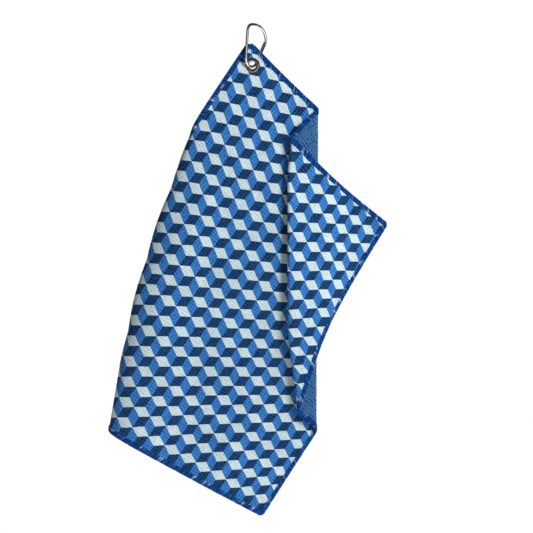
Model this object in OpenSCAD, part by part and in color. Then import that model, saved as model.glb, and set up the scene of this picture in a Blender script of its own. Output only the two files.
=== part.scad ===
/* [Towel] */
// Thickness of the waffle cloth
cloth_t = 2; // [1.5:0.1:2.6]
// Width of the overlocked hem along every edge
hem_w = 6; // [4:0.5:8]
// Thickness of the overlocked hem
hem_t = 3.2; // [2.8:0.1:3.8]

/* [Drape] */
// Height of the hanging corner above the grommet's centre
corner_rise = 29.5; // [26:0.5:34]
// Depth from the grommet's centre to the lowest corner
drop = 563; // [540:1:580]
// Distance from the grommet's centre to the pleat's outer fold
pleat_out_x = 80.5; // [76:0.5:86]
// Distance from the grommet's centre to the pleat's inner fold
pleat_in_x = 46; // [42:0.5:50]
// Gap centre to centre between the main panel and the pleat's middle layer
pleat_gap_back = 8; // [7:0.5:9]
// Gap centre to centre between the pleat's middle layer and the front flap
pleat_gap_front = 7; // [6.5:0.5:8]
// Gap centre to centre between the main panel and the flap tucked behind it
tuck_gap = 18; // [16:1:20]

/* [Grommet] */
// Inner radius of the grommet
hole_r = 4.7; // [4.6:0.1:5]
// Outer radius of the grommet's flanges
flange_r = 9.2; // [8.8:0.1:10]
// Height of the domed front flange
flange_h = 1; // [0.8:0.1:1.1]
// Wall of the grommet's barrel
barrel_wall = 0.6; // [0.5:0.1:0.8]
// Thickness of the back washer
washer_t = 0.5; // [0.4:0.1:0.6]

/* [Carabiner] */
// Radius of the carabiner's wire
wire_r = 1.7; // [1.6:0.05:1.75]
// Angle between the carabiner's plane and the towel
clip_turn = 40; // [38:1:42]
// Lean of the long straight leg
leg_lean = 4.6; // [4:0.1:5]
// Radius of the bottom bend that holds the grommet
bend_r = 9; // [8.8:0.1:9.4]
// Radius of the corner between the leg and the top
corner_r = 8; // [7:0.5:9]
// Radius of the wide bow beside the gate
bow_r = 18.2; // [17.5:0.1:18.6]
// Radius of the gate
gate_r = 2.1; // [2:0.05:2.2]
// Thickness of the flattened tongues at the pivot and the nose
tongue_t = 1.4; // [1.2:0.1:1.5]

/* [Hidden] */
$fn = 48;
far = 700;
// A bent stretch runs this far into the straight ones, and is this much thinner.
lap = 0.4;
ease = 0.02;

// The origin is the inside of the carabiner's top, where it hangs from a ring.
grommet_u = -2.48;
grommet_z = -49.5;

// Towel outline in its own frame: x across and z up from the grommet's centre.
fold1_x = pleat_out_x - pleat_gap_back / 2 - cloth_t / 2;
fold2_x = pleat_in_x + pleat_gap_front / 2 + cloth_t / 2;
tuck_r = tuck_gap / 2 + cloth_t / 2;
corner_a = [-0.5, corner_rise];
corner_b = [169.5, -195.5];
corner_c = [15.5, -drop];
corner_d = [-68, -463];
fold1_top = [fold1_x, -52];
fold1_low = [fold1_x, -452];
fold2_top = [fold2_x, -88];
fold2_low = [fold2_x, -421];
tuck_from = [-77, -88];
tuck_to = [-177, -457];
tuck_angle = atan2(tuck_from[0] - tuck_to[0], tuck_from[1] - tuck_to[1]);
tuck_in = [tuck_r * cos(tuck_angle), -tuck_r * sin(tuck_angle)];
tuck_top = tuck_from + tuck_in;
tuck_low = tuck_to + tuck_in;
tuck_len = norm(tuck_low - tuck_top);

// Length of hem that turns round each fold, along the fold.
hem_fold = 8.5;
hem_tuck_top = 19.5;
hem_tuck_low = 6.2;
// The turned hem stops this far short of each fold's corner.
short = 1;
// Gap between the grommet's flanges and the hem beside them.
flange_gap = 0.3;

// Depths of the towel's four layers, front is negative.
y_main = 0;
y_pleat = -pleat_gap_back;
y_flap = y_pleat - pleat_gap_front;
y_tuck = tuck_gap;

// Outline of each flat layer.
main_shape = [corner_a, fold1_top, fold1_low, corner_c, tuck_low, tuck_top];
pleat_shape = [fold2_top, fold1_top, fold1_low, fold2_low];
flap_shape = [fold2_top, corner_b, fold2_low];
tuck_shape = [tuck_top, corner_d, tuck_low];

// Carabiner outline in its own plane: u across and z up from the hang point.
bend_c = [-4.2, -42.2];
straight_r = [1, wire_r];
lean_dir = [sin(leg_lean), cos(leg_lean)];
lean_side = [cos(leg_lean), -sin(leg_lean)];
leg_low = bend_c - bend_r * lean_side;
corner_z = wire_r - corner_r;
leg_len = (corner_z - leg_low[1] - corner_r * lean_side[1]) / lean_dir[1];
leg_top = leg_low + leg_len * lean_dir;
corner_c2 = leg_top + corner_r * lean_side;
bow_c = [straight_r[0], wire_r - bow_r];
bow_end = -4;
nose = bow_c + bow_r * [cos(bow_end), sin(bow_end)];
to_nose = nose - bend_c;
bend_end = atan2(to_nose[1], to_nose[0]) - acos(bend_r / norm(to_nose));
bend_exit = bend_c + bend_r * [cos(bend_end), sin(bend_end)];
gate_lean = -bend_end;
gate_dir = [sin(gate_lean), cos(gate_lean)];
pivot = bend_exit + 9 * gate_dir;
reach = norm(nose - pivot);

// Gate dimensions along its axis, from the pivot.
slot_w = tongue_t + 0.4;
shoulder = 2.6;
gate_top = reach - 2;
pin_at = reach - 3.8;
slot_low_end = 3.2;
slot_high_end = reach - 6.6;
bore_r = 1.25;
bore_from = 1.5;
bore_to = 13;
rivet_r = 0.75;
rivet_gap = 0.05;
pin_r = 0.6;
heel_r = 1.5;
heel_off = 0.8;
plunger_r = 1.18;
plunger_from = heel_r + 0.05;
plunger_to = 5;
spring_r = 0.95;
spring_wire = 0.16;
spring_turns = 9;
flat_half = 1.75;

// ---- Frames ----
module towel_frame()
    translate([grommet_u * cos(clip_turn), grommet_u * sin(clip_turn), grommet_z]) children();

module clip_frame() rotate([0, 0, clip_turn]) children();

module gate_frame()
    clip_frame() translate([pivot[0], 0, pivot[1]]) rotate([0, gate_lean, 0]) children();

// Stands a flat outline upright and gives it a thickness about depth y.
module sheet(y, t) translate([0, y + t / 2, 0]) rotate([90, 0, 0]) linear_extrude(t) children();

// ---- Towel ----
function inward(p, q, s) = s * [-(q - p)[1], (q - p)[0]] / norm(q - p);

// Band of hem width inside the edge from p to q, which overhangs it and both ends.
module band(p, q, s) {
    side = hem_w * inward(p, q, s);
    over = -inward(p, q, s);
    past = 2 * hem_w * (q - p) / norm(q - p);
    polygon([p - past + over, q + past + over, q + past + side, p - past + side]);
}

module bands_top_main() band(corner_a, fold1_top, -1);
module bands_top_pleat() band(fold2_top, fold1_top, -1);
module bands_top_flap() band(fold2_top, corner_b, -1);
module bands_right_flap() band(corner_b, fold2_low, -1);
module bands_right_pleat() band(fold2_low, fold1_low, 1);
module bands_right_main() band(fold1_low, corner_c, -1);
module bands_bottom_main() band(corner_c, tuck_low, -1);
module bands_bottom_tuck() band(tuck_low, corner_d, 1);
module bands_left_main() band(corner_a, tuck_top, 1);
module bands_left_tuck() band(tuck_top, corner_d, -1);

// Half-round wall between two layers a gap apart, bulging towards +Y from z 0 up.
module half_round(gap, t, high) {
    more = lap * 360 / (PI * gap);
    rotate([0, 0, -more]) rotate_extrude(angle = 180 + 2 * more)
        translate([gap / 2 - t / 2 + ease, 0]) square([t - 2 * ease, high]);
}

module upright_fold(at, y, gap, t, z_low, z_high, turn)
    translate([at, y - gap / 2, z_low]) rotate([0, 0, turn]) half_round(gap, t, z_high - z_low);

// The pleat's outer fold bulges right, and its inner fold bulges left.
module fold1(t, low, high)
    upright_fold(fold1_x, y_main, pleat_gap_back, t, low, high, -90);
module fold2(t, low, high)
    upright_fold(fold2_x, y_pleat, pleat_gap_front, t, low, high, 90);

// The long fold at the left edge, between from and to along its own length.
module tuck_fold(t, from, to)
    translate([tuck_top[0], tuck_gap / 2, tuck_top[1]]) rotate([0, tuck_angle, 0])
        translate([0, 0, -to]) rotate([0, 0, 90]) half_round(tuck_gap, t, to - from);

module main_layer() difference() {
    polygon(main_shape);
    bands_top_main();
    bands_right_main();
    bands_bottom_main();
    bands_left_main();
}

module pleat_layer() difference() {
    polygon(pleat_shape);
    bands_top_pleat();
    bands_right_pleat();
}

module flap_layer() difference() {
    polygon(flap_shape);
    bands_top_flap();
    bands_right_flap();
}

module tuck_layer() difference() {
    polygon(tuck_shape);
    bands_bottom_tuck();
    bands_left_tuck();
}

module towel_cloth() color([0.25, 0.45, 0.7]) towel_frame() difference() {
    union() {
        sheet(y_main, cloth_t) main_layer();
        sheet(y_pleat, cloth_t) pleat_layer();
        sheet(y_flap, cloth_t) flap_layer();
        sheet(y_tuck, cloth_t) tuck_layer();
        fold1(cloth_t, fold1_low[1] + hem_fold, fold1_top[1] - hem_fold);
        fold2(cloth_t, fold2_low[1] + hem_fold, fold2_top[1] - hem_fold);
        tuck_fold(cloth_t, hem_tuck_top, tuck_len - hem_tuck_low);
    }
    rotate([90, 0, 0]) cylinder(r = hole_r + barrel_wall + 0.05, h = 4 * cloth_t, center = true);
}

module hem_top() color([0.03, 0.27, 0.62]) towel_frame() union() {
    sheet(y_main, hem_t) intersection() { polygon(main_shape); bands_top_main(); }
    sheet(y_pleat, hem_t) intersection() { polygon(pleat_shape); bands_top_pleat(); }
    sheet(y_flap, hem_t) intersection() { polygon(flap_shape); bands_top_flap(); }
    fold1(hem_t, fold1_top[1] - hem_fold, fold1_top[1] - short);
    fold2(hem_t, fold2_top[1] - hem_fold, fold2_top[1] - short);
}

module hem_right() color([0.03, 0.27, 0.62]) towel_frame() union() {
    sheet(y_flap, hem_t) difference() {
        intersection() { polygon(flap_shape); bands_right_flap(); }
        bands_top_flap();
    }
    sheet(y_pleat, hem_t) intersection() { polygon(pleat_shape); bands_right_pleat(); }
    sheet(y_main, hem_t) intersection() { polygon(main_shape); bands_right_main(); }
    fold1(hem_t, fold1_low[1] + short, fold1_low[1] + hem_fold);
    fold2(hem_t, fold2_low[1] + short, fold2_low[1] + hem_fold);
}

module hem_bottom() color([0.03, 0.27, 0.62]) towel_frame() union() {
    sheet(y_main, hem_t) difference() {
        intersection() { polygon(main_shape); bands_bottom_main(); }
        bands_right_main();
    }
    sheet(y_tuck, hem_t) intersection() { polygon(tuck_shape); bands_bottom_tuck(); }
    tuck_fold(hem_t, tuck_len - hem_tuck_low, tuck_len - short);
}

module hem_left() color([0.03, 0.27, 0.62]) towel_frame() union() {
    sheet(y_main, hem_t) difference() {
        intersection() { polygon(main_shape); bands_left_main(); }
        bands_top_main();
        circle(r = flange_r + flange_gap);
    }
    sheet(y_tuck, hem_t) difference() {
        intersection() { polygon(tuck_shape); bands_left_tuck(); }
        bands_bottom_tuck();
    }
    tuck_fold(hem_t, short, hem_tuck_top);
}

// ---- Grommet, turned about the axis through the towel ----
// Domed ring from radius a to b, rising h above height z.
module dome_ring(a, b, z, h) {
    half = (b - a) / 2;
    sink = (half * half - h * h) / (2 * h);
    intersection() {
        translate([(a + b) / 2, z - sink]) circle(r = h + sink);
        translate([a, z]) square([b - a, h + sink]);
    }
}

module grommet_frame() towel_frame() rotate([90, 0, 0]) children();

module grommet_eyelet() color([0.72, 0.73, 0.75]) grommet_frame() rotate_extrude() {
    dome_ring(hole_r, flange_r, cloth_t / 2, flange_h);
    translate([hole_r, -cloth_t / 2 - washer_t]) square([barrel_wall, cloth_t + washer_t]);
    mirror([0, 1]) dome_ring(hole_r, hole_r + 2, cloth_t / 2 + washer_t, 0.45);
}

module grommet_washer() color([0.68, 0.69, 0.71]) grommet_frame() rotate_extrude()
    translate([hole_r + barrel_wall, -cloth_t / 2 - washer_t])
        square([flange_r - hole_r - barrel_wall - 0.2, washer_t]);

// ---- Carabiner ----
// Round wire bent to radius r about c, from angle a to b.
module wire_arc(c, r, a, b) {
    more = lap * 180 / (PI * r);
    translate([c[0], 0, c[1]]) rotate([90, 0, 0]) rotate([0, 0, a - more])
        rotate_extrude(angle = b - a + 2 * more) translate([r, 0]) circle(r = wire_r - ease);
}

// Straight round wire from p to q in the carabiner's plane.
module wire_line(p, q)
    translate([p[0], 0, p[1]]) rotate([0, atan2(q[0] - p[0], q[1] - p[1]), 0])
        cylinder(r = wire_r, h = norm(q - p));

// Flat plate in the gate's frame, its outline given as across and along.
module tongue() translate([0, tongue_t / 2, 0]) rotate([90, 0, 0]) linear_extrude(tongue_t) children();

module carabiner_body() color([0.78, 0.78, 0.8]) {
    clip_frame() {
        wire_arc(bend_c, bend_r, 180 - leg_lean, 360 + bend_end);
        wire_line(leg_low, leg_top);
        wire_arc(corner_c2, corner_r, 90, 180 - leg_lean);
        wire_line([corner_c2[0], wire_r], straight_r);
        wire_arc(bow_c, bow_r, bow_end, 90);
        wire_line(bend_exit, pivot - shoulder * gate_dir);
        translate([nose[0], 0, nose[1]]) sphere(r = wire_r);
    }
    gate_frame() {
        difference() {
            tongue() {
                translate([-wire_r + 0.2, -shoulder - 1]) square([2 * wire_r - 0.4, shoulder + 1]);
                circle(r = heel_r);
                translate([-heel_off, 0]) circle(r = heel_r);
            }
            rotate([90, 0, 0]) cylinder(r = rivet_r, h = 3 * tongue_t, center = true);
        }
        difference() {
            tongue() translate([-1.3, reach - 5.4]) square([2.6, 5.4]);
            translate([0, 0, pin_at]) rotate([90, 0, 0])
                cylinder(r = pin_r, h = 3 * tongue_t, center = true);
        }
    }
}

module carabiner_gate() color([0.74, 0.74, 0.77]) gate_frame() difference() {
    union() {
        cylinder(r = gate_r, h = gate_top);
        intersection() {
            translate([0, 0, -gate_r]) cylinder(r = gate_r, h = gate_r);
            rotate([90, 0, 0]) cylinder(r = gate_r, h = 2 * gate_r, center = true);
        }
    }
    // slot for the pivot tongue
    translate([-far / 2, -slot_w / 2, -far]) cube([far, slot_w, far + slot_low_end]);
    // slot for the nose tongue
    translate([-far / 2, -slot_w / 2, slot_high_end]) cube([far, slot_w, far]);
    // bore for the plunger and spring
    translate([0, 0, bore_from]) cylinder(r = bore_r, h = bore_to - bore_from);
    // rivet hole
    rotate([90, 0, 0]) cylinder(r = rivet_r + rivet_gap, h = 3 * gate_r, center = true);
    // flats under the rivet's heads
    for (s = [0, 1]) mirror([0, s, 0])
        translate([-far / 2, flat_half, -far]) cube([far, far, far + 1.6]);
    // open notch that closes on the latch pin
    translate([0, 0, pin_at]) rotate([90, 0, 0])
        cylinder(r = pin_r + 0.25, h = 3 * gate_r, center = true);
    translate([0, -far / 2, pin_at - pin_r - 0.25]) cube([far, far, 2 * pin_r + 0.5]);
}

module gate_rivet() color([0.66, 0.66, 0.69]) gate_frame() rotate([90, 0, 0]) union() {
    cylinder(r = rivet_r, h = 2 * flat_half + 2 * rivet_gap, center = true);
    for (s = [0, 1]) mirror([0, 0, s])
        translate([0, 0, flat_half + rivet_gap]) cylinder(r1 = 1.3, r2 = 1, h = 0.4);
}

module latch_pin() color([0.6, 0.6, 0.63]) gate_frame() translate([0, 0, pin_at])
    rotate([90, 0, 0]) cylinder(r = pin_r, h = 2 * gate_r - 0.6, center = true);

module gate_plunger() color([0.7, 0.6, 0.4]) gate_frame() union() {
    translate([0, 0, plunger_from]) cylinder(r = plunger_r, h = plunger_to - plunger_from);
    translate([0, 0, plunger_to]) cylinder(r = 0.6, h = 2);
}

// Coil of round wire, swept as rings of points along a helix.
module coil(r, w, turns, length) {
    steps = 14 * turns;
    sides = 6;
    function ring(i) = let (a = 360 * i / 14, z = length * i / steps)
        [for (k = [0:sides - 1]) let (b = 360 * k / sides)
            [(r + w * cos(b)) * cos(a), (r + w * cos(b)) * sin(a), z + w * sin(b)]];
    points = [for (i = [0:steps]) each ring(i)];
    walls = [for (i = [0:steps - 1], k = [0:sides - 1]) let (n = (k + 1) % sides)
        [i * sides + k, (i + 1) * sides + k, (i + 1) * sides + n, i * sides + n]];
    start = [for (k = [0:sides - 1]) k];
    finish = [for (k = [sides - 1:-1:0]) steps * sides + k];
    polyhedron(points, concat(walls, [start], [finish]));
}

module gate_spring() color([0.8, 0.8, 0.82]) gate_frame()
    translate([0, 0, plunger_to + spring_wire + 0.02])
        coil(spring_r, spring_wire, spring_turns, bore_to - plunger_to - 2 * spring_wire - 0.04);

towel_cloth();
hem_top();
hem_right();
hem_bottom();
hem_left();
grommet_eyelet();
grommet_washer();
carabiner_body();
carabiner_gate();
gate_rivet();
latch_pin();
gate_plunger();
gate_spring();
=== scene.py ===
import math

import bpy
import numpy as np
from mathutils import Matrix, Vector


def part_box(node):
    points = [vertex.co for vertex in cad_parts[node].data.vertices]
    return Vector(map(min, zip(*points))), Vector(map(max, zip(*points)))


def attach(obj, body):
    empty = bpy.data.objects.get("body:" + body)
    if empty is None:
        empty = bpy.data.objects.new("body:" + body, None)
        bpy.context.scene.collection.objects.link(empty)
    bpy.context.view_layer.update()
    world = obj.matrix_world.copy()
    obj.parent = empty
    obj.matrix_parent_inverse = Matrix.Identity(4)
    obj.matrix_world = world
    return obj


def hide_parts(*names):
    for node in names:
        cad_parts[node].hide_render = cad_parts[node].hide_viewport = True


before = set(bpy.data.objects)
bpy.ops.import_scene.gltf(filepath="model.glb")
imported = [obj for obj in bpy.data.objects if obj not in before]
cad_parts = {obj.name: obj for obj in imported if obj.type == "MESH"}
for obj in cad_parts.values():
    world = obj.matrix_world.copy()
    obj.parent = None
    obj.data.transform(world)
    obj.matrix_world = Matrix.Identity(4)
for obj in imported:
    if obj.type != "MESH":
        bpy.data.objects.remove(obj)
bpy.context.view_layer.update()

# ---- Flat cloth, in millimetres ----
# u runs across from the left long edge, and v runs up from the bottom short edge.
MM = 0.001
WIDTH = 350.0
LENGTH = 450.0
CLOTH_HALF = 1.0
WAFFLE_PITCH = 3.7
WAFFLE_LIFT = 0.12
PIT_FRONT = 0.26
PIT_BACK = 0.5
# The cloth's own hole, and how far outside the eyelet its waffle is pressed flat.
EYE_CUT = 6.3
EYE_PRESS = 3.0

# ---- Hems ----
HEM_WIDTH = 5.4
HEM_HALF = 1.55
# The short edges' hems are a little thicker, so that they lie over the others at the corners.
SHORT_HEM_EXTRA = 0.12
HEM_OVER = 0.7
HEM_TURN = 1.0
HEM_RAGGED, RAGGED_FROM = 0.08, 2.5
# Share of the cloth's half thickness at the band's inner edge, and how square its crown is.
HEM_FOOT, HEM_SQUARE = 0.85, 6
HEM_SIDE_POINTS, HEM_TURN_POINTS = 8, 7
THREAD_PITCH = 1.25
THREAD_STEPS = 4
THREAD_SLANT = 0.4
THREAD_RELIEF = 0.34
# At each end the threads lose their slant, and the band thins.
SLANT_FADE, TAPER, TAPER_FADE = 8.0, 0.75, 1.5
# The band follows the cloth from this far inside its edge.
EDGE_GUARD = 0.3
# Half thickness under the eyelet's flange, and where outside it that starts and ends.
PRESSED, PRESS_START, PRESS_END = 1.05, 0.5, 3.5

# ---- Printed blocks: 15.08 across the cloth, placed from its right and bottom edges ----
BLOCK_W = WIDTH / 15.08
BLOCK_EDGE = BLOCK_W / math.sqrt(3)
BLOCK_ROW = 1.5 * BLOCK_EDGE
BLOCK_U = WIDTH - 0.575 * BLOCK_W
BLOCK_V = 0.95 * BLOCK_ROW - BLOCK_EDGE / 2

# ---- Drape: x to the right, y away from the viewer, z up; angles in degrees ----
# Where the cloth's corners would hang if it had no folds, as x and z: the hanging corner, the
# right one, the lowest one, and the left one that is tucked behind.
CORNER_A = (-5.8, -18.2)
CORNER_B = (250.8, -253.3)
CORNER_C = (9.9, -612.7)
CORNER_D = (-278.8, -445.1)
# How round each corner is cut: the hanging corner, then the other three.
HANGING_ROUND, CORNER_ROUND = 10.0, 4.0
# How far its middle moves from the straight grid between the corners: belly and skew along u,
# and bow along v.
BELLY_X, BELLY_Z, BOW_X, BOW_Z, SKEW_X = 2.2, -7.9, 1.3, 7.7, 5.0

# Pleat on the right: the cloth turns forwards and back, then forwards again.
PLEAT_OUT = 79.0
PLEAT_IN = 42.0
OUT_RADIUS = 2.8
IN_RADIUS = 2.8
MIDDLE_SLOPE = 5.0
# Each fold leans: how far, and the heights between which it does.
OUT_LEAN, OUT_LEAN_FROM, OUT_LEAN_TO = 2.0, -180, -430
TOP_LEAN, TOP_LEAN_FROM, TOP_LEAN_TO = 4, -190, -135
FOOT_LEAN, FOOT_LEAN_FROM, FOOT_LEAN_TO = 14, -355, -490

# Flap: it lies back over the pleat, bends away from the viewer, and sweeps forwards again.
FLAP_LEAN = 8.0
FLAP_OVER = 38.0
FLAP_SOFTER = 25.6
FLAP_BEND, FLAP_FLAT, FLAP_SWEEP = 10.0, 15.0, 49.0
# It has dropped and tilted in its own plane. The drop grows through the hidden layer.
FLAP_DROP, FLAP_TILT_Z, FLAP_TILT_X, FLAP_SPREAD = -7.0, 0.040, 0.106, 0.001
FLAP_SHIFT = -0.5
FLAP_MIDDLE_X = 40
FLAP_MIDDLE_Z = -240.0
DROP_PAST, SHIFT_OVER = 5, 40
# The print lies a little off the cloth's grain beyond the pleat.
SLIP_U, SLIP_U_TILT, SLIP_V, SLIP_V_TILT = 4.6, 0.027, -6.4, -0.016
SLIP_MIDDLE_U, SLIP_MIDDLE_V = 290, 360

# Tuck on the left: the cloth rolls slowly away and back behind itself.
TUCK_TOP = (-78.8, -137.6)
TUCK_ANGLE = math.radians(15.4)
TUCK_LENGTH = 383.0
TUCK_BOW = 13.0
# The roll's stretches, as lengths and the degrees each turns, and how far out they reach.
TUCK_ROLL = ((26, 14), (16, 22), (14, 50), (14, 60), (12, 40))
TUCK_BEHIND = (120.0, -3)
TUCK_REACH, TUCK_REACH_STRETCHES = 63, 4
# The roll's size: a share of those lengths, which grows down from a tight start.
TUCK_SIZE, TUCK_TIGHT, TUCK_TIGHT_AT, TUCK_FULL_AT = 0.68, 0.12, -130, 150
# Shallow notches along the roll, where the cloth kinks as it turns.
NOTCH_FIRST, NOTCH_STEP, NOTCH_DEPTH, NOTCH_MEAN = 69.0, 94.0, 2.2, 0.6
NOTCHES_START, NOTCHES_FULL, NOTCHES_FADE, NOTCHES_END = -10, 60, 270, 340

# Gentle folds that fan out below the grommet: share of the depth, waves per turn, and phase.
FAN_DEPTH = 2.6
FAN_START, FAN_FULL = 50.0, 380.0
FAN_WAVES = ((1.0, 11, 6), (0.5, 23, -4))
# Round the eyelet the cloth is held flat. It's free of it between these distances.
EYE_HELD, EYE_FREE = 11, 34

# Small unevenness: depth, then the length and the wander of its waves along u and along v.
CRINKLE_DEPTH = 0.35
CRINKLE_U, WANDER_U, WANDER_U_LENGTH = 7.3, 2.1, 23.0
CRINKLE_V, WANDER_V, WANDER_V_LENGTH = 9.1, 1.7, 19.0
# Puckers at the hems: depth, how far in they reach, and the length and wander of their waves.
PUCKER_DEPTH, PUCKER_REACH, PUCKER_LENGTH = 0.5, 9.0, 3.9
PUCKER_WANDER, PUCKER_WANDER_LENGTH = 1.2, 17.0

TINY = 1e-6
# Least bend of a profile, in radians per millimetre: a straight stretch is divided by it.
LEAST_BEND = 1e-7


def smooth(x, low, high):
    """Goes from 0 at low to 1 at high, whichever is greater, with level ends."""
    t = np.clip((x - low) / (high - low), 0, 1)
    return t * t * (3 - 2 * t)


def trace(run, stretches):
    """Follows a profile for a length run: each stretch is a length and the degrees it turns."""
    x, y, head, start = (np.zeros_like(run) for _ in range(4))
    for length, turn in stretches:
        length = np.broadcast_to(length, run.shape).astype(float)
        bend = np.broadcast_to(np.radians(turn), run.shape) / length
        bend = np.where(np.abs(bend) < LEAST_BEND, LEAST_BEND, bend)
        gone = np.clip(run - start, 0, length)
        x = x + (np.sin(head + bend * gone) - np.sin(head)) / bend
        y = y + (np.cos(head) - np.cos(head + bend * gone)) / bend
        head = head + bend * length
        start = start + length
    rest = np.maximum(run - start, 0)
    return x + rest * np.cos(head), y + rest * np.sin(head)


def unfolded(u, v):
    """Where a point of the flat cloth hangs, as x and z, before the cloth is folded."""
    s, t = u / WIDTH, v / LENGTH
    share = ((1 - s) * (1 - t), s * (1 - t), (1 - s) * t, s * t)
    ends = (CORNER_D, CORNER_C, CORNER_A, CORNER_B)
    x, z = (sum(w * end[axis] for w, end in zip(share, ends)) for axis in (0, 1))
    across, along = 4 * s * (1 - s), 4 * t * (1 - t)
    x = x + BELLY_X * across + BOW_X * along + SKEW_X * across * (2 * s - 1)
    return x, z + BELLY_Z * across + BOW_Z * along


def pleat_run(x, z):
    """The pleat at a point: where its outer fold starts, the run past that start to the point,
    and the lengths of the outer fold, the middle layer and the inner fold."""
    inner = PLEAT_IN + TOP_LEAN * smooth(z, TOP_LEAN_FROM, TOP_LEAN_TO)
    inner = inner + FOOT_LEAN * smooth(z, FOOT_LEAN_FROM, FOOT_LEAN_TO)
    start = PLEAT_OUT - OUT_LEAN * smooth(z, OUT_LEAN_FROM, OUT_LEAN_TO) - OUT_RADIUS
    turn = 180 - MIDDLE_SLOPE
    middle = (start - inner - IN_RADIUS) / math.cos(math.radians(MIDDLE_SLOPE))
    out_arc = math.radians(turn) * OUT_RADIUS
    in_arc = math.radians(turn + FLAP_LEAN) * IN_RADIUS
    return start, np.maximum(x - start, 0), out_arc, middle, in_arc


def pleated(x, z):
    """The S-shaped pleat and the flap right of it, as new x, y and z."""
    start, run, out_arc, middle, in_arc = pleat_run(x, z)
    turn = 180 - MIDDLE_SLOPE
    pleat = [(out_arc, -turn), (middle, 0), (in_arc, turn + FLAP_LEAN)]
    flap = [(FLAP_OVER, 0), (FLAP_BEND, FLAP_SOFTER - FLAP_LEAN), (FLAP_FLAT, 0),
            (FLAP_SWEEP, -FLAP_SOFTER)]
    px, py = trace(run, pleat + flap)
    px, py = start + px, np.where(run > 0, py, 0.0)
    gone = smooth(run, out_arc / 2, out_arc + middle + DROP_PAST)
    far = smooth(run, out_arc + middle, out_arc + middle + SHIFT_OVER)
    height = z - FLAP_MIDDLE_Z
    tilt = FLAP_TILT_Z * height + FLAP_TILT_X * (px - FLAP_MIDDLE_X)
    new_x = px + gone * far * (FLAP_SHIFT + FLAP_SPREAD * height)
    return np.where(run > 0, new_x, x), py, z + gone * (FLAP_DROP + tilt)


def tucked(x, z):
    """The long roll at the left edge and the flap behind it, as new x, y and z."""
    across = (math.cos(TUCK_ANGLE), -math.sin(TUCK_ANGLE))
    down = (-math.sin(TUCK_ANGLE), -math.cos(TUCK_ANGLE))
    dx, dz = x - TUCK_TOP[0], z - TUCK_TOP[1]
    along = dx * down[0] + dz * down[1]
    bow = TUCK_BOW * np.sin(math.pi * np.clip(along / TUCK_LENGTH, 0, 1))
    notched = smooth(along, NOTCHES_START, NOTCHES_FULL) * smooth(along, NOTCHES_END, NOTCHES_FADE)
    swelling = np.abs(np.sin(math.pi * (along - NOTCH_FIRST) / NOTCH_STEP)) - NOTCH_MEAN
    bow = bow + NOTCH_DEPTH * swelling * notched
    inside = dx * across[0] + dz * across[1] + bow
    growth = smooth(along, TUCK_TIGHT_AT, TUCK_FULL_AT)
    size = TUCK_SIZE * (TUCK_TIGHT + (1 - TUCK_TIGHT) * growth)
    roll = [(length * size, turn) for length, turn in TUCK_ROLL]
    reach = trace(TUCK_REACH * size, roll[:TUCK_REACH_STRETCHES])[0]
    run = np.maximum(reach - inside, 0)
    px, py = trace(run, roll + [TUCK_BEHIND])
    shift = np.where(run > 0, reach - px - inside, 0.0)
    return x + shift * across[0], np.where(run > 0, py, 0.0), z + shift * across[1]


def fan(x, z):
    """Depth of the soft folds that spread down from the grommet."""
    dx, dz = x - HOLE[0], HOLE[2] - z
    away = np.hypot(dx, dz)
    angle = np.degrees(np.arctan2(dx, dz))
    waves = sum(share * np.cos(np.radians(count * (angle + phase)))
                for share, count, phase in FAN_WAVES)
    return FAN_DEPTH * smooth(away, FAN_START, FAN_FULL) * waves


def crinkle(u, v):
    """Small unevenness of the cloth, and the puckers drawn by the stitching of each hem."""
    wave_u = np.sin(u / CRINKLE_U + WANDER_U * np.sin(v / WANDER_U_LENGTH))
    wave_v = np.sin(v / CRINKLE_V + WANDER_V * np.sin(u / WANDER_V_LENGTH))
    soft = CRINKLE_DEPTH * wave_u * wave_v
    edges = ((u, v, 0.0), (WIDTH - u, v, 1.3), (v, u, 2.9), (LENGTH - v, u, 4.4))
    for inside, along, phase in edges:
        wander = PUCKER_WANDER * np.sin(along / PUCKER_WANDER_LENGTH)
        near = np.exp(-(np.maximum(inside, 0) / PUCKER_REACH) ** 2)
        soft = soft + PUCKER_DEPTH * near * np.sin(along / PUCKER_LENGTH + phase + wander)
    return soft


def rounded(u, v):
    """Draws each corner of the flat cloth in to a round one."""
    for far_u, far_v in ((0, LENGTH), (0, 0), (WIDTH, LENGTH), (WIDTH, 0)):
        radius = HANGING_ROUND if (far_u, far_v) == (0, LENGTH) else CORNER_ROUND
        side_u, side_v = (1 if far_u == 0 else -1), (1 if far_v == 0 else -1)
        du, dv = radius - side_u * (u - far_u), radius - side_v * (v - far_v)
        inside = (du > 0) & (dv > 0)
        pull = np.where(inside, np.maximum(du, dv) / np.maximum(np.hypot(du, dv), TINY), 1.0)
        u = np.where(inside, far_u + side_u * (radius - du * pull), u)
        v = np.where(inside, far_v + side_v * (radius - dv * pull), v)
    return u, v


def drape(u, v):
    """The hanging cloth's middle surface, as x, y and z in millimetres."""
    u, v = rounded(u, v)
    x, z = unfolded(u, v)
    right = x > (PLEAT_IN + PLEAT_OUT) / 2
    x1, y1, z1 = pleated(x, z)
    x2, y2, z2 = tucked(x, z)
    x, y, z = np.where(right, x1, x2), np.where(right, y1, y2), np.where(right, z1, z2)
    free = smooth(np.hypot(x - HOLE[0], z - HOLE[2]), EYE_HELD, EYE_FREE)
    return np.stack([x, HOLE[1] + y + free * (fan(x, z) + crinkle(u, v)), z], -1)


def printed(u, v):
    """The print's own coordinates at a point of the cloth.

    They are u and v up to the pleat, and part from them in its hidden middle layer."""
    _, run, out_arc, middle, _ = pleat_run(*unfolded(u, v))
    slip = smooth(run, out_arc, out_arc + middle)
    return (u + slip * (SLIP_U + SLIP_U_TILT * (v - SLIP_MIDDLE_V)),
            v + slip * (SLIP_V + SLIP_V_TILT * (u - SLIP_MIDDLE_U)))


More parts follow.
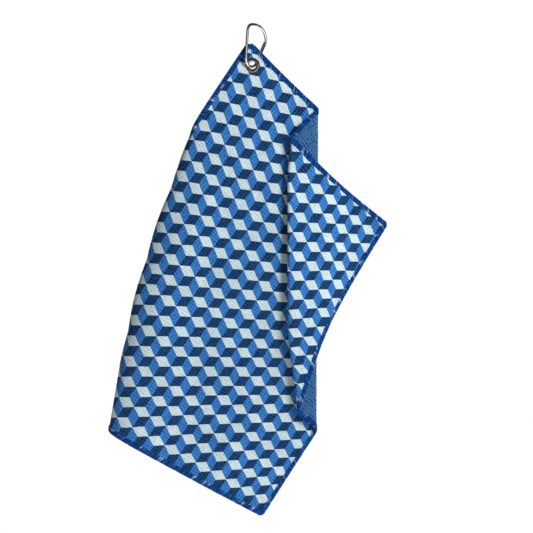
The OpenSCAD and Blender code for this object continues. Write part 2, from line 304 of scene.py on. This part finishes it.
def normals(u, v, step=0.6):
    """Unit vectors out of the printed side."""
    tu = drape(u + step, v) - drape(u - step, v)
    tv = drape(u, v + step) - drape(u, v - step)
    out = np.cross(tu, tv)
    return out / np.linalg.norm(out, axis=-1, keepdims=True)


def flat_point(x, z):
    """The flat cloth's u and v that hang at x and z, away from the folds."""
    u, v = WIDTH / 2, LENGTH / 2
    for _ in range(12):
        here = np.array(unfolded(u, v))
        across = np.array(unfolded(u + 1, v)) - here
        along = np.array(unfolded(u, v + 1)) - here
        du, dv = np.linalg.solve(np.stack([across, along], 1), np.array([x, z]) - here)
        u, v = u + du, v + dv
    return u, v


# The hole's centre and the flange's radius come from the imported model, in millimetres.
low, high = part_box("grommet_washer")
HOLE = [(low.x + high.x) / 2 / MM, low.y / MM - CLOTH_HALF, (low.z + high.z) / 2 / MM]
low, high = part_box("grommet_eyelet")
FLANGE = (high.x - low.x) / 2 / MM
EYE_U, EYE_V = flat_point(HOLE[0], HOLE[2])


# ---- Meshes ----
def make_mesh(name, points, faces, layers):
    """A smooth object from points in millimetres, with vector attributes on its points."""
    mesh = bpy.data.meshes.new(name)
    mesh.from_pydata((points * MM).tolist(), [], faces)
    mesh.polygons.foreach_set("use_smooth", [True] * len(mesh.polygons))
    for attribute, values in layers.items():
        layer = mesh.attributes.new(attribute, "FLOAT_VECTOR", "POINT")
        layer.data.foreach_set("vector", values.astype(np.float32).ravel())
    mesh.update()
    piece = bpy.data.objects.new(name, mesh)
    bpy.context.scene.collection.objects.link(piece)
    return piece


def waffle_lines(size):
    """How many half cells of waffle fit along an edge."""
    return round(2 * size / WAFFLE_PITCH)


def waffle_cell(size):
    """The waffle cell's real size along an edge, once its lines fit the edge."""
    return 2 * size / waffle_lines(size)


def grid_points():
    """The flat cloth's grid, two lines to each waffle cell, drawn in to a round edge at the eye."""
    columns, rows = (waffle_lines(size) + 1 for size in (WIDTH, LENGTH))
    u, v = np.meshgrid(np.linspace(0, WIDTH, columns), np.linspace(0, LENGTH, rows), indexing="ij")
    du, dv = u - EYE_U, v - EYE_V
    away = np.hypot(du, dv)
    middle = (away[1:, 1:] + away[1:, :-1] + away[:-1, 1:] + away[:-1, :-1]) / 4
    kept = middle > EYE_CUT
    beside = np.zeros(u.shape, bool)
    for i, j in ((0, 0), (0, 1), (1, 0), (1, 1)):
        beside[i:i + columns - 1, j:j + rows - 1] |= ~kept
    pull = np.where(beside, EYE_CUT / np.maximum(away, TINY), 1.0)
    return EYE_U + du * pull, EYE_V + dv * pull, kept


def relief(shape, pit):
    """Height of the waffle at each grid point: ridges cross at even lines, with pits between."""
    i, j = np.indices(shape)
    pits = (i % 2) * (j % 2)
    ridges = (1 - i % 2) * (1 - j % 2)
    return WAFFLE_LIFT * ridges - pit * pits


def cloth_faces(kept):
    """Quads of both sides and of the rim, for front points followed by back points."""
    columns, rows = kept.shape[0] + 1, kept.shape[1] + 1
    index = np.arange(columns * rows).reshape(columns, rows)
    back = columns * rows
    i, j = np.nonzero(kept)
    ring = np.stack([index[i, j], index[i + 1, j], index[i + 1, j + 1], index[i, j + 1]], 1)
    faces = [ring, ring[:, ::-1] + back]
    padded = np.pad(kept, 1)
    for side, (di, dj) in enumerate(((0, -1), (1, 0), (0, 1), (-1, 0))):
        alone = ~padded[i + 1 + di, j + 1 + dj]
        a, b = ring[alone, side], ring[alone, (side + 1) % 4]
        faces.append(np.stack([b, a, a + back, b + back], 1))
    return np.concatenate(faces)


def make_cloth():
    """The draped cloth, with its flat and its printed coordinates on each point."""
    u, v, kept = grid_points()
    middle, out = drape(u, v), normals(u, v)
    away = np.hypot(u - EYE_U, v - EYE_V)
    pressed = smooth(away, FLANGE, FLANGE + EYE_PRESS)[..., None]
    front = middle + out * (CLOTH_HALF + pressed * relief(u.shape, PIT_FRONT)[..., None])
    back = middle - out * (CLOTH_HALF + pressed * relief(u.shape, PIT_BACK)[..., None])
    points = np.concatenate([front.reshape(-1, 3), back.reshape(-1, 3)])
    flat = [np.stack([u, v, np.full(u.shape, side)], -1).reshape(-1, 3) for side in (1.0, 0.0)]
    ink = np.stack([*printed(u, v), np.zeros(u.shape)], -1).reshape(-1, 3)
    faces = cloth_faces(kept)
    used = np.unique(faces)
    new = np.full(len(points), -1)
    new[used] = np.arange(len(used))
    layers = {"flat": np.concatenate(flat)[used], "print": np.concatenate([ink, ink])[used]}
    return make_mesh("cloth", points[used], new[faces].tolist(), layers)


def hem_section(half):
    """The band's outline: distance in from the edge, depth out of the cloth, length round it."""
    foot = CLOTH_HALF * HEM_FOOT
    sides = np.linspace(HEM_WIDTH, HEM_TURN, HEM_SIDE_POINTS)
    crown = foot + (half - foot) * (1 - (2 * sides / HEM_WIDTH - 1) ** HEM_SQUARE)
    crown[-1] = half
    turn = np.radians(np.linspace(90, -90, HEM_TURN_POINTS))[1:-1]
    round_edge = HEM_TURN - (HEM_TURN + HEM_OVER) * np.cos(turn)
    inside = np.concatenate([sides, round_edge, sides[::-1]])
    depth = np.concatenate([crown, half * np.sin(turn), -crown[::-1]])
    steps = np.hypot(np.diff(inside), np.diff(depth))
    length = np.concatenate([[0], np.cumsum(steps)])
    return inside, depth, length - length[-1] / 2


def hem_rows(size):
    """Distance along the edge of each ring of the band, before it slants."""
    rings = round(size / THREAD_PITCH) * THREAD_STEPS
    return np.linspace(0, size, rings + 1)


def chance(number):
    """A number from 0 to 1 for each whole number, uneven but the same in each run."""
    return np.modf(np.abs(np.sin(number * 12.99)) * 437.6)[0]


def make_hem(name, size, place, half):
    """Overlock band along one edge: place turns distance along and inside into u and v."""
    inside, depth, length = hem_section(half)
    along = hem_rows(size)
    from_end = np.minimum(along, size - along)
    ridge = np.abs(np.sin(math.pi * np.arange(len(along)) / THREAD_STEPS)) * THREAD_RELIEF
    luck = 2 * chance(np.floor(along / THREAD_PITCH + 0.5)) - 1
    reach = 1 + HEM_RAGGED * luck[:, None] * smooth(inside, RAGGED_FROM, HEM_WIDTH)[None]
    slant = THREAD_SLANT * smooth(from_end, 0, SLANT_FADE)
    slanted = along[:, None] - slant[:, None] * length[None]
    slanted = np.clip(slanted, -HEM_OVER, size + HEM_OVER)

    within = inside[None] * reach
    on_cloth = np.maximum(within, EDGE_GUARD)
    u, v = place(slanted, within)
    cu, cv = place(slanted, on_cloth)
    edge = drape(cu, cv)
    out = normals(cu, cv)
    step = drape(*place(slanted, on_cloth + 1.0)) - edge
    inward = step / np.linalg.norm(step, axis=-1, keepdims=True)

    near_eye = smooth(np.hypot(u - EYE_U, v - EYE_V), FLANGE + PRESS_START, FLANGE + PRESS_END)
    taper = TAPER + (1 - TAPER) * smooth(from_end, 0, TAPER_FADE)[:, None]
    thread_swell = np.sign(depth)[None] * ridge[:, None] * np.abs(depth)[None] / half
    swell = depth[None] * taper + thread_swell
    limit = PRESSED + (half + THREAD_RELIEF - PRESSED) * near_eye
    swell = np.clip(swell, -limit, limit)
    beyond = np.minimum(within - EDGE_GUARD, 0)
    beyond = beyond - ridge[:, None] * np.clip(-beyond, 0, 1)
    points = edge + out * swell[..., None] + inward * beyond[..., None]

    rings, sides = slanted.shape
    index = np.arange(rings * sides).reshape(rings, sides)
    ahead = np.roll(index, -1, axis=1)
    quads = np.stack([index[:-1], ahead[:-1], ahead[1:], index[1:]], -1).reshape(-1, 4)
    faces = quads.tolist() + [index[0, ::-1].tolist(), index[-1].tolist()]
    thread = np.broadcast_to(along[:, None] / THREAD_PITCH, slanted.shape)
    values = np.stack([thread, within, np.broadcast_to(depth, slanted.shape)], -1)
    return make_mesh(name, points.reshape(-1, 3), faces, {"thread": values.reshape(-1, 3)})


SHORT_HEM_HALF = HEM_HALF + SHORT_HEM_EXTRA
EDGES = {
    "hem_top": (WIDTH, lambda along, inside: (along, LENGTH - inside), SHORT_HEM_HALF),
    "hem_right": (LENGTH, lambda along, inside: (WIDTH - inside, along), HEM_HALF),
    "hem_bottom": (WIDTH, lambda along, inside: (along, inside), SHORT_HEM_HALF),
    "hem_left": (LENGTH, lambda along, inside: (inside, along), HEM_HALF),
}


# ---- Materials ----
# Each dye from the yarn's dark parts to its light ones, as screen colours from 0 to 255.
NAVY = ((12, 46, 88), (36, 82, 132))
BLUE = ((34, 100, 180), (74, 142, 212))
WHITE = ((199, 221, 226), (216, 234, 239))
DENIM = ((26, 72, 122), (82, 132, 182))
# Yarn noise at which the dark and the light colour are reached, and the light one for white.
YARN_DARK, YARN_LIGHT, YARN_LIGHT_WHITE = 0.3, 0.72, 0.7
# Painted shade in the waffle's pits: share of its light that each dye loses in a pit, and how much
# that varies between pits.
PIT_SHADE_BLUE, PIT_SHADE_NAVY, PIT_SHADE_WHITE, PIT_SHADE_DENIM = 0.4, 0.64, 0.17, 0.62
PIT_SHADE_LEAST, PIT_SHADE_MOST = 0.2, 1.35
# Extra light on the knots where ridges cross, at most for a dark dye, and for white.
KNOT_DARK, KNOT_WHITE = 0.55, 0.04
# The ranges below are what a ramp reads, from and to, and then what it gives, if not 0 to 1.
# How the yarn lifts the surface, and at which height a pit is deepest and has ended.
YARN_LIFT = (0.2, 0.8, -0.3, 0.3)
PIT_RANGE = (0.15, 1.05)
# Light and dark of the fuzz, of broad patches and of streaks along the weave.
FUZZ_TONE = (0.25, 0.75, 0.84, 1.12)
PATCH_TONE = (0.3, 0.7, 0.94, 1.05)
STREAK_TONE = (0.3, 0.7, 0.95, 1.04)
CLOTH_ROUGHNESS = (0.2, 0.8, 0.82, 0.95)
# The waves' values at the bottom and the top of the waffle, and of a knot.
WAFFLE_RANGE, KNOT_RANGE, KNOT_FUZZ = (-1.0, 0.9), (0.0, 0.9), (0.3, 0.7)
# Half width of the soft edge between two printed colours, in millimetres.
PRINT_EDGE = 0.28
# How far the print's edges wander finely across, and drift broadly along.
INK_WANDER, INK_WANDER_SCALE = 1.1, 0.9
INK_DRIFT, INK_DRIFT_SCALE = 1.6, 0.05
# Noise of the cloth, in waves per millimetre.
YARN_SCALE, FUZZ_SCALE, PATCH_SCALE, STREAK_SCALE = 1.5, 3.2, 0.03, 0.5
YARN_STRETCH, STREAK_STRETCH = (1.0, 1.6, 1.0), (0.35, 1.0, 1.0)
# Bump of the cloth: its distance, and the shares of the waffle, the yarn and the fuzz.
CLOTH_BUMP, BUMP_WAFFLE, BUMP_YARN, BUMP_FUZZ = 0.0006, 0.6, 0.35, 0.25

THREAD = ((0, 50, 118), (6, 88, 172))
# Painted shine on the thread's twisted yarn.
THREAD_SHINE = (34, 122, 214)
THREAD_PALE = (206, 220, 236)
TWIST_STRETCH, TWIST_SCALE = (3.0, 2.2, 2.2), 2.4
# Painted shine along a thread's twist, and painted shade in the groove beside it: across goes from
# 0 to 0.5 there.
TWIST_SHINE, GROOVE = (0.5, 0.85), (0.2, 0.5, 1.0, 0.4)
# Pale marks come in clusters along the hem.
CLUSTER_SCALE, CLUSTER_RANGE = 0.09, (0.46, 0.6)
# Each kind has a thread's shade above which it shows, and where it shows inside the edge and
# across the thread: flecks beside the inner edge, loose threads over the band, and tips.
FLECK_SHADE, FLECK_INSIDE, FLECK_ACROSS = 0.5, (2.4, 3.8), (0.27, 0.4)
LOOSE_SHADE, LOOSE_INSIDE, LOOSE_ACROSS = 0.86, (0.8, 1.6), (0.24, 0.14)
TIP_SHADE, TIP_INSIDE = 0.88, (0.3, -0.2)
THREAD_ROUGHNESS = (0.2, 0.8, 0.5, 0.68)
THREAD_BUMP, BUMP_GROOVE = 0.0004, 0.8

METAL_CLOUD, METAL_PITS = 140.0, 1900.0
SCRATCH_STRETCH = (2600.0, 2600.0, 160.0)
CLOUD_TONE, CLOUD_ROUGH, CLOUD_ROUGHER = (0.35, 0.75), (0.3, 0.8), 0.08
SCRATCH_RANGE = (0.55, 0.8)
METAL_BUMP, METAL_BUMP_STRENGTH, BUMP_SCRATCH = 0.00001, 0.3, 0.5


def colour(red, green, blue):
    """A linear colour from its 0 to 255 screen values."""
    values = (c / 255 for c in (red, green, blue))
    linear = (c / 12.92 if c <= 0.04045 else ((c + 0.055) / 1.055) ** 2.4 for c in values)
    return (*linear, 1.0)


class Graph:
    """Short names for the nodes of one material or world."""

    def __init__(self, owner):
        self.owner = owner
        owner.use_nodes = True
        self.tree = owner.node_tree

    def node(self, kind, **settings):
        made = self.tree.nodes.new(kind)
        for key, value in settings.items():
            setattr(made, key, value)
        return made

    def put(self, socket, value):
        if isinstance(value, bpy.types.NodeSocket):
            self.tree.links.new(value, socket)
        else:
            socket.default_value = value

    def math(self, operation, *values):
        made = self.node("ShaderNodeMath", operation=operation)
        for socket, value in zip(made.inputs, values):
            self.put(socket, value)
        return made.outputs[0]

    def add(self, first, second):
        return self.math("ADD", first, second)

    def subtract(self, first, second):
        return self.math("SUBTRACT", first, second)

    def multiply(self, first, second):
        return self.math("MULTIPLY", first, second)

    def mix(self, factor, first, second, blend="MIX"):
        made = self.node("ShaderNodeMix", data_type="RGBA", blend_type=blend)
        sockets = (made.inputs[0], made.inputs[6], made.inputs[7])
        for socket, value in zip(sockets, (factor, first, second)):
            self.put(socket, value)
        return made.outputs[2]

    def darken(self, first, second):
        return self.mix(1.0, first, second, "MULTIPLY")

    def choose(self, factor, first, second):
        made = self.node("ShaderNodeMix", data_type="FLOAT")
        sockets = (made.inputs[0], made.inputs[2], made.inputs[3])
        for socket, value in zip(sockets, (factor, first, second)):
            self.put(socket, value)
        return made.outputs[0]

    def ramp(self, value, low, high, start=0.0, end=1.0):
        """Goes from start at low to end at high."""
        made = self.node("ShaderNodeMapRange", interpolation_type="SMOOTHSTEP")
        for socket, number in zip(made.inputs, (value, low, high, start, end)):
            self.put(socket, number)
        return made.outputs[0]

    def noise(self, vector, scale, detail=2.0):
        made = self.node("ShaderNodeTexNoise")
        self.put(made.inputs["Vector"], vector)
        made.inputs["Scale"].default_value = scale
        made.inputs["Detail"].default_value = detail
        return made.outputs[0]

    def split(self, vector):
        parts = self.node("ShaderNodeSeparateXYZ")
        self.put(parts.inputs[0], vector)
        return parts.outputs

    def attribute(self, name):
        vector = self.node("ShaderNodeAttribute", attribute_name=name).outputs["Vector"]
        return vector, self.split(vector)

    def place(self, output="Object"):
        return self.node("ShaderNodeTexCoord").outputs[output]

    def stretch(self, vector, scale):
        made = self.node("ShaderNodeVectorMath", operation="MULTIPLY")
        self.put(made.inputs[0], vector)
        made.inputs[1].default_value = scale
        return made.outputs[0]

    def length(self, vector):
        made = self.node("ShaderNodeVectorMath", operation="LENGTH")
        self.put(made.inputs[0], vector)
        return made.outputs["Value"]

    @property
    def shader(self):
        return self.tree.nodes["Principled BSDF"]

    def bump(self, height, distance, strength=1.0):
        made = self.node("ShaderNodeBump")
        made.inputs["Strength"].default_value = strength
        made.inputs["Distance"].default_value = distance
        self.put(made.inputs["Height"], height)
        self.put(self.shader.inputs["Normal"], made.outputs[0])

    def finish(self, base, roughness, **constants):
        self.put(self.shader.inputs["Base Color"], base)
        self.put(self.shader.inputs["Roughness"], roughness)
        for key, value in constants.items():
            self.shader.inputs[key.replace("_", " ")].default_value = value
        return self.owner


def new_material(name):
    return Graph(bpy.data.materials.new(name))


def nearest_block(g, u, v):
    """Offset from the middle of the printed hexagon that a point lies in."""
    found = []
    for shift_u, shift_v in ((0.0, 0.0), (BLOCK_W / 2, BLOCK_ROW)):
        ru = g.math("WRAP", g.subtract(u, BLOCK_U + shift_u), BLOCK_W / 2, -BLOCK_W / 2)
        rv = g.math("WRAP", g.subtract(v, BLOCK_V + shift_v), BLOCK_ROW, -BLOCK_ROW)
        found.append((ru, rv, g.add(g.multiply(ru, ru), g.multiply(rv, rv))))
    (ru1, rv1, far1), (ru2, rv2, far2) = found
    second = g.math("LESS_THAN", far2, far1)
    return g.choose(second, ru1, ru2), g.choose(second, rv1, rv2)


def waffle_height(g, u, v):
    """The waffle's height, from 0 in a pit to 1 on a ridge; its knots, where ridges cross;
    and a number from 0 to 1 for each pit."""
    cells = [g.math("DIVIDE", at, waffle_cell(size)) for at, size in ((u, WIDTH), (v, LENGTH))]
    waves = [g.math("COSINE", g.multiply(cell, 2 * math.pi)) for cell in cells]
    number = g.node("ShaderNodeCombineXYZ")
    for socket, cell in zip(number.inputs, cells):
        g.put(socket, g.math("FLOOR", cell))
    pick = g.node("ShaderNodeTexWhiteNoise", noise_dimensions="3D")
    g.put(pick.inputs["Vector"], number.outputs[0])
    height = g.ramp(g.math("MAXIMUM", *waves), *WAFFLE_RANGE)
    knot = g.ramp(g.math("MINIMUM", *waves), *KNOT_RANGE)
    return height, knot, pick.outputs["Value"]


def cloth_material():
    """Waffle cloth: printed blocks on its front, denim blue on its back, and painted shade in the
    pits.
    """
    g = new_material("printed_waffle")
    flat, (u, v, side) = g.attribute("flat")
    ink, (across, along, _) = g.attribute("print")
    wander = g.multiply(g.subtract(g.noise(ink, INK_WANDER_SCALE, 3.0), 0.5), INK_WANDER)
    drift = g.multiply(g.subtract(g.noise(ink, INK_DRIFT_SCALE, 1.0), 0.5), INK_DRIFT)
    ru, rv = nearest_block(g, g.add(across, wander), g.add(along, drift))
    slope = g.subtract(rv, g.multiply(g.math("ABSOLUTE", ru), 1 / math.sqrt(3)))
    white = g.ramp(slope, -PRINT_EDGE, PRINT_EDGE)
    navy = g.ramp(ru, -PRINT_EDGE, PRINT_EDGE)
    height, knot, luck = waffle_height(g, u, v)
    yarn = g.noise(g.stretch(flat, YARN_STRETCH), YARN_SCALE, 3.0)
    fuzz = g.noise(flat, FUZZ_SCALE)
    patch = g.noise(flat, PATCH_SCALE)
    streak = g.noise(g.stretch(flat, STREAK_STRETCH), STREAK_SCALE)

    def dyed(dye, light=YARN_LIGHT):
        return g.mix(g.ramp(yarn, YARN_DARK, light), colour(*dye[0]), colour(*dye[1]))

    blocks = g.mix(navy, dyed(BLUE), dyed(NAVY))
    blocks = g.mix(white, blocks, dyed(WHITE, YARN_LIGHT_WHITE))

    # Painted shade in the waffle's pits: deepest where the waffle and the yarn lie lowest, and
    # uneven from pit to pit.
    level = g.add(height, g.ramp(yarn, *YARN_LIFT))
    depth = g.subtract(1.0, g.ramp(level, *PIT_RANGE))
    uneven = g.ramp(luck, 0.0, 1.0, PIT_SHADE_LEAST, PIT_SHADE_MOST)
    pit_shade_print = g.choose(white, g.choose(navy, PIT_SHADE_BLUE, PIT_SHADE_NAVY), PIT_SHADE_WHITE)
    knots = g.choose(white, g.ramp(fuzz, *KNOT_FUZZ, 0.0, KNOT_DARK), KNOT_WHITE)
    grain = g.add(g.ramp(fuzz, *FUZZ_TONE), g.multiply(knot, knots))

    # Darkens a colour by the painted pit shade, and tones it by the fuzz and the knots.
    def pit_shaded(cloth, pit):
        light = g.subtract(1.0, g.multiply(depth, g.multiply(uneven, pit)))
        return g.darken(cloth, g.multiply(light, grain))

    wash = g.multiply(g.ramp(patch, *PATCH_TONE), g.ramp(streak, *STREAK_TONE))
    front = g.math("GREATER_THAN", side, 0.5)
    base = g.mix(front, pit_shaded(dyed(DENIM), PIT_SHADE_DENIM), pit_shaded(blocks, pit_shade_print))
    loops = g.add(g.multiply(yarn, BUMP_YARN), g.multiply(fuzz, BUMP_FUZZ))
    g.bump(g.add(g.multiply(height, BUMP_WAFFLE), loops), CLOTH_BUMP)
    return g.finish(g.darken(base, wash), g.ramp(fuzz, *CLOTH_ROUGHNESS),
                    Sheen_Weight=0.04, Sheen_Roughness=0.5, Specular_IOR_Level=0.12)


def thread_material():
    """Royal blue thread with painted shine along its twist and painted shade in its grooves, and
    clusters of pale flecks, loose ends and tips.
    """
    g = new_material("overlock_thread")
    coords, (thread, inside, _) = g.attribute("thread")
    number = g.math("FLOOR", g.add(thread, 0.5))
    across = g.math("ABSOLUTE", g.subtract(thread, number))
    pick = g.node("ShaderNodeTexWhiteNoise", noise_dimensions="1D")
    g.put(pick.inputs["W"], number)
    shade = pick.outputs["Value"]
    twist = g.noise(g.stretch(coords, TWIST_STRETCH), TWIST_SCALE)
    blue = g.mix(g.ramp(shade, 0.0, 1.0), colour(*THREAD[0]), colour(*THREAD[1]))
    # Painted shine along the twist, then painted shade in the grooves between threads.
    blue = g.mix(g.ramp(twist, *TWIST_SHINE), blue, colour(*THREAD_SHINE))
    groove = g.ramp(across, *GROOVE)
    blue = g.darken(blue, groove)

    def shades_above(limit):
        return g.math("GREATER_THAN", shade, limit)

    along = g.stretch(coords, (1.0, 0.0, 0.0))
    cluster = g.ramp(g.noise(along, CLUSTER_SCALE, 1.0), *CLUSTER_RANGE)
    fleck = g.multiply(shades_above(FLECK_SHADE), g.ramp(across, *FLECK_ACROSS))
    fleck = g.multiply(fleck, g.multiply(cluster, g.ramp(inside, *FLECK_INSIDE)))
    loose = g.multiply(shades_above(LOOSE_SHADE), g.ramp(across, *LOOSE_ACROSS))
    loose = g.multiply(loose, g.multiply(cluster, g.ramp(inside, *LOOSE_INSIDE)))
    tip = g.multiply(shades_above(TIP_SHADE), g.ramp(inside, *TIP_INSIDE))
    pale = g.math("MAXIMUM", g.math("MAXIMUM", fleck, loose), tip)
    base = g.mix(pale, blue, colour(*THREAD_PALE))
    g.bump(g.add(twist, g.multiply(groove, BUMP_GROOVE)), THREAD_BUMP)
    return g.finish(base, g.ramp(twist, *THREAD_ROUGHNESS), Specular_IOR_Level=0.15)


def metal_material(name, light, dark, roughness, scratch, tarnish=None):
    """Metal with cloudy tone and fine scratches.

    Tarnish is two distances from the hole's axis and the colour that is reached between them."""
    g = new_material(name)
    place = g.place()
    cloud = g.noise(place, METAL_CLOUD, 3.0)
    lines = g.noise(g.stretch(place, SCRATCH_STRETCH), 1.0)
    pits = g.noise(place, METAL_PITS)
    base = g.mix(g.ramp(cloud, *CLOUD_TONE), colour(*light), colour(*dark))
    rough = g.add(g.ramp(cloud, *CLOUD_ROUGH, roughness, roughness + CLOUD_ROUGHER),
                  g.ramp(lines, *SCRATCH_RANGE, 0.0, scratch))
    g.bump(g.add(g.multiply(lines, BUMP_SCRATCH), pits), METAL_BUMP, METAL_BUMP_STRENGTH)
    if tarnish:
        near, far, tone = tarnish
        centre = g.node("ShaderNodeVectorMath", operation="SUBTRACT")
        g.put(centre.inputs[0], place)
        centre.inputs[1].default_value = [c * MM for c in HOLE]
        away = g.length(g.stretch(centre.outputs[0], (1.0, 0.0, 1.0)))
        base = g.mix(g.ramp(away, near * MM, far * MM), base, colour(*tone))
    return g.finish(base, rough, Metallic=1.0)


# ---- The towel ----
cloth = make_cloth()
cloth.data.materials.append(cloth_material())
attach(cloth, "towel")
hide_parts("towel_cloth")

thread = thread_material()
for node, (size, place, half) in EDGES.items():
    hem = make_hem(node.replace("hem_", "overlock_"), size, place, half)
    hem.data.materials.append(thread)
    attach(hem, "towel")
    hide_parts(node)

# ---- The metal ----
nickel = metal_material("polished_nickel", (232, 226, 226), (212, 204, 204), 0.04, 0.05)
eyelet = metal_material("plated_eyelet", (222, 214, 210), (190, 180, 174), 0.07, 0.08,
                        tarnish=(4.4, 5.4, (118, 106, 100)))
brass = metal_material("turned_brass", (214, 178, 112), (186, 148, 86), 0.22, 0.15)
steel = metal_material("spring_steel", (190, 190, 194), (160, 160, 166), 0.25, 0.1)
FINISHES = {
    "carabiner_body": nickel, "carabiner_gate": nickel, "gate_rivet": nickel, "latch_pin": nickel,
    "grommet_eyelet": eyelet, "grommet_washer": eyelet, "gate_plunger": brass, "gate_spring": steel,
}
for node, finish in FINISHES.items():
    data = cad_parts[node].data
    data.materials.clear()
    data.materials.append(finish)


# ---- Floor, light and camera, in metres ----
CAMERA_X, CAMERA_Z = 0.0156, -0.3008
CAMERA_AWAY = 2.4
VIEW_WIDTH = 0.66625
SENSOR_MM = 36.0

FLOOR_Z = -0.72
FLOOR_GLOW = 0.62
FLOOR_RADIUS, FLOOR_SIDES = 3.0, 96
FLOOR_FADE_START, FLOOR_FADE_END = 0.25, 0.95

# Lamps: where each stands, what it's aimed at, its width and its power.
KEY = ((0.72, -0.90, 0.22), (0.0, 0.0, -0.26), 0.36, 14.6)
BACK = ((-0.6, 2.2, 0.5), (0.0, 0.0, -0.3), 1.6, 34.0)
BACKDROP, AMBIENT = 1.0, 0.18

# What polished metal sees round it: each window's azimuth from the camera, half width, level.
WINDOWS = ((-14, 40, 0.6), (34, 12, 2.4), (-120, 12, 0.25), (150, 14, 0.4),
           (180, 30, 0.6), (-180, 30, 0.6))
WINDOW_SOFT_OUT, WINDOW_SOFT_IN = 12, 6
WINDOW_LOW, WINDOW_HIGH = 0.08, 0.32
ROOM_DARK = 0.02
CEILING, CEILING_LOW, CEILING_HIGH = 0.02, 0.3, 0.5
BAND, BAND_LOW, BAND_HIGH, BAND_SOFT = 0.4, 0.55, 0.6, 0.07


def make_floor():
    """A round pale floor that fades out into the background."""
    mesh = bpy.data.meshes.new("floor")
    turns = [2 * math.pi * k / FLOOR_SIDES for k in range(FLOOR_SIDES)]
    rim = [(FLOOR_RADIUS * math.cos(a), FLOOR_RADIUS * math.sin(a), FLOOR_Z) for a in turns]
    mesh.from_pydata(rim, [], [list(range(FLOOR_SIDES))])
    floor = bpy.data.objects.new("floor", mesh)
    bpy.context.scene.collection.objects.link(floor)
    g = new_material("pale_floor")
    place = g.place()
    away = g.length(g.stretch(place, (1.0, 1.0, 0.0)))
    fade = g.ramp(away, FLOOR_FADE_START, FLOOR_FADE_END, 1.0, 0.0)
    g.put(g.shader.inputs["Alpha"], fade)
    tone = g.mix(g.noise(place, 30.0), colour(244, 244, 244), colour(248, 248, 248))
    g.put(g.shader.inputs["Emission Color"], tone)
    mesh.materials.append(g.finish(tone, 0.9, Emission_Strength=FLOOR_GLOW))


def aimed(direction):
    """Turns a lamp so that it shines along direction."""
    x, y, z = direction
    return math.atan2(math.hypot(x, y), -z), 0.0, math.atan2(-x, y)


def add_light(name, place, target, width, power):
    data = bpy.data.lights.new(name, "AREA")
    data.shape = "RECTANGLE"
    data.size = width
    data.size_y = width
    data.energy = power
    lamp = bpy.data.objects.new(name, data)
    lamp.location = place
    lamp.rotation_euler = aimed(np.array(target) - np.array(place))
    bpy.context.scene.collection.objects.link(lamp)
    lamp.visible_camera = False
    lamp.visible_glossy = False


def add_world():
    """A white backdrop, a softer ambient light, and a dark studio for reflections."""
    world = bpy.data.worlds.new("studio")
    g = Graph(world)
    x, y, z = g.split(g.place("Generated"))
    azimuth = g.math("DEGREES", g.math("ARCTAN2", x, g.multiply(y, -1.0)))
    glow = ROOM_DARK
    for at, half, level in WINDOWS:
        off = g.math("ABSOLUTE", g.subtract(azimuth, at))
        window = g.ramp(off, half + WINDOW_SOFT_OUT, half - WINDOW_SOFT_IN, 0.0, level)
        glow = g.add(window, glow)
    glow = g.multiply(glow, g.ramp(z, WINDOW_HIGH, WINDOW_LOW))
    band = g.multiply(g.ramp(z, BAND_LOW - BAND_SOFT, BAND_LOW),
                      g.ramp(z, BAND_HIGH + BAND_SOFT, BAND_HIGH, 0.0, BAND))
    glow = g.add(g.add(glow, band), g.ramp(z, CEILING_LOW, CEILING_HIGH, 0.0, CEILING))
    rays = g.node("ShaderNodeLightPath")
    seen = g.choose(rays.outputs["Is Glossy Ray"], AMBIENT, glow)
    seen = g.choose(rays.outputs["Is Camera Ray"], seen, BACKDROP)
    g.put(g.tree.nodes["Background"].inputs["Strength"], seen)
    g.tree.nodes["Background"].inputs["Color"].default_value = (1.0, 1.0, 1.0, 1.0)
    bpy.context.scene.world = world


def add_camera():
    """A level camera whose view is VIEW_WIDTH wide at the towel."""
    data = bpy.data.cameras.new("camera")
    data.sensor_width = SENSOR_MM
    data.lens = data.sensor_width * CAMERA_AWAY / VIEW_WIDTH
    camera = bpy.data.objects.new("camera", data)
    camera.location = (CAMERA_X, -CAMERA_AWAY, CAMERA_Z)
    camera.rotation_euler = (math.pi / 2, 0.0, 0.0)
    bpy.context.scene.collection.objects.link(camera)
    bpy.context.scene.camera = camera


make_floor()
add_world()
add_light("key", *KEY)
add_light("back", *BACK)
add_camera()
bpy.context.scene.view_settings.view_transform = "Standard"
